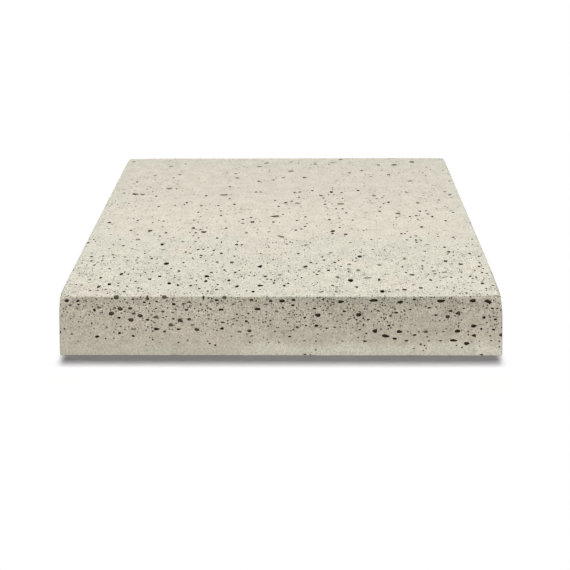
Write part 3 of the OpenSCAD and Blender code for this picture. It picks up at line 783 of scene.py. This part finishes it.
def mark_pores(mesh):
    """Gives each point of a pore's wall its depth in mm as the attribute sunk, and in a second attribute its
    share of painted shade, the black of a shaded hollow against pale dust, and keeps the rim of each pore
    sharp. The rim lies between faces of different slots. In the end all the faces are in slot 0."""
    corner_point, corner_edge = read(mesh.loops, "vertex_index"), read(mesh.loops, "edge_index")
    corner_kind = np.repeat(read(mesh.polygons, "material_index"), read(mesh.polygons, "loop_total"))
    wall = np.ones(len(mesh.vertices), bool)
    wall[corner_point[corner_kind == 0]] = False
    below = depths(read(mesh.vertices, "co", 3, float).reshape(-1, 3) / MM)
    sunk = np.where(wall, below.min(axis=1), 0)
    wall_kind = np.zeros(len(mesh.vertices), np.int32)
    np.maximum.at(wall_kind, corner_point, corner_kind)
    # Painted shade of each wall, by face or side and by its kind of dust
    dark = PAINTED_SHADE_SHARE[np.minimum(below.argmin(axis=1), 1), wall_kind - 1]
    for name, values in (("sunk", sunk), ("dark", dark)):
        mesh.attributes.new(name, "FLOAT", "POINT").data.foreach_set("value", values.astype(np.float32))
    least = np.full(len(mesh.edges), corner_kind.max(), np.int32)
    most = np.zeros(len(mesh.edges), np.int32)
    np.minimum.at(least, corner_edge, corner_kind)
    np.maximum.at(most, corner_edge, corner_kind)
    mesh.edges.foreach_set("use_edge_sharp", least != most)
    mesh.polygons.foreach_set("use_smooth", np.ones(len(mesh.polygons), bool))
    mesh.polygons.foreach_set("material_index", np.zeros(len(mesh.polygons), np.int32))
    for _ in DUST_LEAVES_DEPTH:
        mesh.materials.pop(index=1)
    mesh.update()


mark_pores(slab.data)
bpy.data.materials.remove(pore_wall)


# The concrete
# Cream grey cement paste with fine sand, pinker in some patches and greener in others, as the mix and the
# release oil left it. The sides are browner, darker under the arris and paler along the foot, there partly by
# the paste and partly by painted light, which stands in for the light that the floor throws up.
PINKER = (0.735, 0.684, 0.583, 1)
GREENER = (0.712, 0.686, 0.580, 1)
SIDE_SHADE = (0.925, 0.905, 0.860, 1)
# How dark pinholes are painted for the shade in them, how fast they widen, and how soft their edge is
PIN_SHADE, PIN_GROWTH, PIN_EDGE = 0.14, 1.6, (0.08, -0.14)
# Walls of pores: pale dust, black painted shade of the hollow, and a lighter painted shade for the deepest
# ones, which the cut already shades
DUST = (0.62, 0.56, 0.43, 1)
PAINTED_PORE_SHADE = (0.030, 0.024, 0.014, 1)
DEEP_PAINTED_PORE_SHADE = (0.055, 0.046, 0.030, 1)
SHEEN = 0.25
# Spots, each with its middle and its radius: pinker ones near the front of the face, darker ones under the
# arris, paler ones on the front and on the face, and ones with more pinholes
PINK_SPOTS = (
    (20, -168, 58, 20), (68, -125, 58, 22), (-10, -85, 58, 38), (-97, -90, 58, 16), (112, -178, 58, 22),
    (178, -130, 58, 18), (-120, -196, 58, 26), (-165, -194, 58, 26), (-95, -196, 58, 18), (95, -158, 58, 16),
)
SMUDGES = (
    (-46, -197, 54, 10), (68, -197, 54, 26), (40, -197, 55, 20), (150, -197, 54, 22), (185, -197, 56, 12),
)
PALER_SIDE = ((-112, -197, 49, 26), (-65, -197, 50, 26), (190, -197, 16, 22), (195, -197, 48, 10))
PALER_FACE = (
    (60, -150, 58, 40), (115, -145, 58, 50), (170, -140, 58, 44), (-165, -115, 58, 36), (185, -180, 58, 20),
)
PRICKED = (
    (-117, -184, 58, 32), (163, -181, 58, 34), (24, -136, 58, 20), (47, -187, 58, 12), (-35, -150, 58, 28),
    (85, -197, 40, 30), (-60, -197, 40, 26), (170, -197, 30, 24), (-125, -197, 25, 24),
)
tree = concrete.node_tree
shader = tree.nodes["Principled BSDF"]


def times(first, second):
    """The product of two numbers or outputs."""
    return maths("MULTIPLY", first, second)


def plus(first, second):
    """The sum of two numbers or outputs."""
    return maths("ADD", first, second)


def vectors(operation, first, second):
    """The result of an operation on vectors. To scale the first, the second is a number."""
    inputs = {0: first, "Scale" if operation == "SCALE" else 1: second}
    return add("ShaderNodeVectorMath", inputs, operation=operation).outputs["Vector"]


def clouds(grain, detail, shift=(0, 0, 0), kind="Fac"):
    """Noise with swells about grain mm across, moved by shift so that no two are alike."""
    inputs = {"Vector": vectors("ADD", place, shift), "Scale": 1 / grain, "Detail": detail}
    return add("ShaderNodeTexNoise", inputs).outputs[kind]


def spots(table):
    """An output that is 1 in the inner 0.4 of each spot of a table and fades to 0 at its radius."""
    inside = 0.0
    for *middle, radius in table:
        off = add("ShaderNodeVectorMath", {0: strayed, 1: middle}, operation="DISTANCE").outputs["Value"]
        inside = maths("MAXIMUM", inside, spread(off, radius, 0.4 * radius))
    return inside


def by_side(face, side):
    """An output that is the first number on the face and the second on the sides."""
    return blend(on_side, face, side, "FLOAT")


def pinholes(cell, crowd, least, widest):
    """An output that is 1 in pinholes, at most one in each cell of a grid. The share crowd says how many
    cells have one, and the radius goes from least to widest."""
    near = add("ShaderNodeTexVoronoi", {"Vector": place, "Scale": 1 / cell}).outputs
    pick = add("ShaderNodeSeparateColor", {"Color": near["Color"]}).outputs["Red"]
    over = maths("MAXIMUM", maths("SUBTRACT", plus(pick, crowd), 1), 0)
    radius = plus(times(over, PIN_GROWTH), times(maths("GREATER_THAN", over, 0), least))
    away = maths("SUBTRACT", times(near["Distance"], cell), maths("MINIMUM", radius, widest))
    return spread(away, *PIN_EDGE)


# Places in mm, and the same strayed by some centimetres, which gives patches uneven edges
place = vectors("SCALE", add("ShaderNodeTexCoord").outputs["Object"], 1 / MM)
wander = vectors("SUBTRACT", clouds(30, 3, kind="Color"), (0.5, 0.5, 0.5))
strayed = vectors("ADD", place, vectors("MULTIPLY", wander, (60, 60, 16)))
stray_x, stray_y, stray_z = add("ShaderNodeSeparateXYZ", {"Vector": strayed}).outputs
place_y, place_z = add("ShaderNodeSeparateXYZ", {"Vector": place}).outputs[1:]
on_side = spread(place_z, 57.7, 57.0)

# Pinker and greener patches, and the browner sides
pink_band = times(spread(stray_y, -75, -50), spread(stray_y, 170, 150))
pink_face = times(pink_band, spread(maths("ABSOLUTE", stray_x), 192, 178))
pink_face = maths("MAXIMUM", pink_face, spots(PINK_SPOTS))
pink_side = times(spread(stray_z, 6, 16), spread(stray_z, 57, 50))
patches = blend(by_side(pink_face, pink_side), GREENER, PINKER)
# The lower sides: cooler in tint, and lighter, partly by paler paste and partly by painted light for the
# floor's bounce
foot = times(spread(stray_z, 17, 7), spread(stray_x, -60, 0, 0.3, 1))
browner = times(on_side, maths("SUBTRACT", 1, times(foot, 0.5)))
tinted = vectors("MULTIPLY", patches, blend(browner, WHITE, SIDE_SHADE))

# Sand and mottling
mottle = clouds(13, 3, (90, 40, 20))
grain = clouds(1.8, 2, (10, 70, 30))
sand = spread(clouds(1.2, 1, (70, 20, 60)), 0.3, 0.7, -1, 1)
coarse = by_side(spread(place_y, 40, -190, 0.02, 0.13), spread(place_z, 6, 56, 0.07, 0.22))
light = times(spread(mottle, 0.3, 0.7, 0.95, 1.05), spread(grain, 0.3, 0.7, 0.88, 1.12))
light = times(light, plus(times(sand, coarse), 1))
light = times(light, spread(clouds(5, 1, (20, 90, 0)), 0.56, 0.72, 1, 0.92))

# Lighter and darker zones of the sides, where the lift along and above the foot is partly painted light for the
# floor's bounce, and of the face, which darkens towards the back
above_foot = spread(stray_z, 30, 14)
left_half = times(spread(stray_x, 40, -60), spread(stray_z, 8, 24))
under_arris = spread(stray_z, 44, 56)
side_light = 1.0
for zone, change_by in (
    (foot, 0.23), (above_foot, 0.06), (left_half, 0.05), (under_arris, -0.1),
    (spots(SMUDGES), -0.06), (spots(PALER_SIDE), 0.06),
):
    side_light = plus(side_light, times(zone, change_by))
toward_back = times(spread(place_y, -20, 90, 1, 0.935), spread(stray_y, 100, 180, 1, 0.965))
face_light = plus(times(spots(PALER_FACE), 0.03), 1)
light = times(light, by_side(times(toward_back, face_light), side_light))

# Pinholes, in loose clusters, fewer wider ones, and faint grey ones mostly on the face: specks of painted shade
# for holes too small to cut, the darker ones also dipping a little in the relief
cluster = spread(clouds(24, 2, (50, 0, 80)), 0.35, 0.65)
crowd_face = times(spread(place_y, 60, -160, 0.12, 0.5), plus(times(cluster, 0.9), 0.3))
crowd_side = times(spread(place_z, 6, 34, 0.06, 0.5), plus(times(cluster, 0.6), 0.6))
crowd = by_side(crowd_face, plus(crowd_side, times(under_arris, 0.25)))
wider_crowd = by_side(spread(place_y, 20, -190, 0.03, 0.3), spread(place_z, 6, 44, 0.05, 0.38))
wider_crowd = plus(wider_crowd, times(spots(PRICKED), 0.25))
prick = maths("MAXIMUM", pinholes(1.85, crowd, 0, 0.62), pinholes(3.0, wider_crowd, 0.3, 0.85))
light = times(light, spread(prick, 0, 1, 1, PIN_SHADE))
faint_share = times(spread(on_side, 0, 1, 1, 0.3), spread(place_y, -140, 60, 0.2, 0.3))
faint = times(pinholes(4.6, times(cluster, 0.95), 0.55, 1.8), faint_share)
light = times(light, maths("SUBTRACT", 1, faint))
whole_shade = vectors("SCALE", tinted, light)

# The walls of the pores, painted darker from the rim down for the shade in the hollow, between pale dust and
# black, and a little less so in the deepest ones, which the cut already shades
sunk = add("ShaderNodeAttribute", attribute_name="sunk").outputs["Fac"]
dark = add("ShaderNodeAttribute", attribute_name="dark").outputs["Fac"]
pore_shade = blend(dark, DUST, blend(spread(sunk, 1.2, 3.0), PAINTED_PORE_SHADE, DEEP_PAINTED_PORE_SHADE))
shade = blend(spread(sunk, 0.02, 0.45), whole_shade, pore_shade)
tree.links.new(shade, shader.inputs["Base Color"])

# Sheen and relief
shader.inputs["Specular IOR Level"].default_value = SHEEN
tree.links.new(spread(mottle, 0.3, 0.7, 0.95, 0.82), shader.inputs["Roughness"])
swell = plus(times(clouds(6, 2, (0, 60, 10)), 0.25), times(grain, 0.07))
relief = maths("SUBTRACT", swell, times(prick, 0.25))
bump = add("ShaderNodeBump", {"Height": relief, "Distance": MM}).outputs["Normal"]
tree.links.new(bump, shader.inputs["Normal"])

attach(slab, "root")
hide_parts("slab")
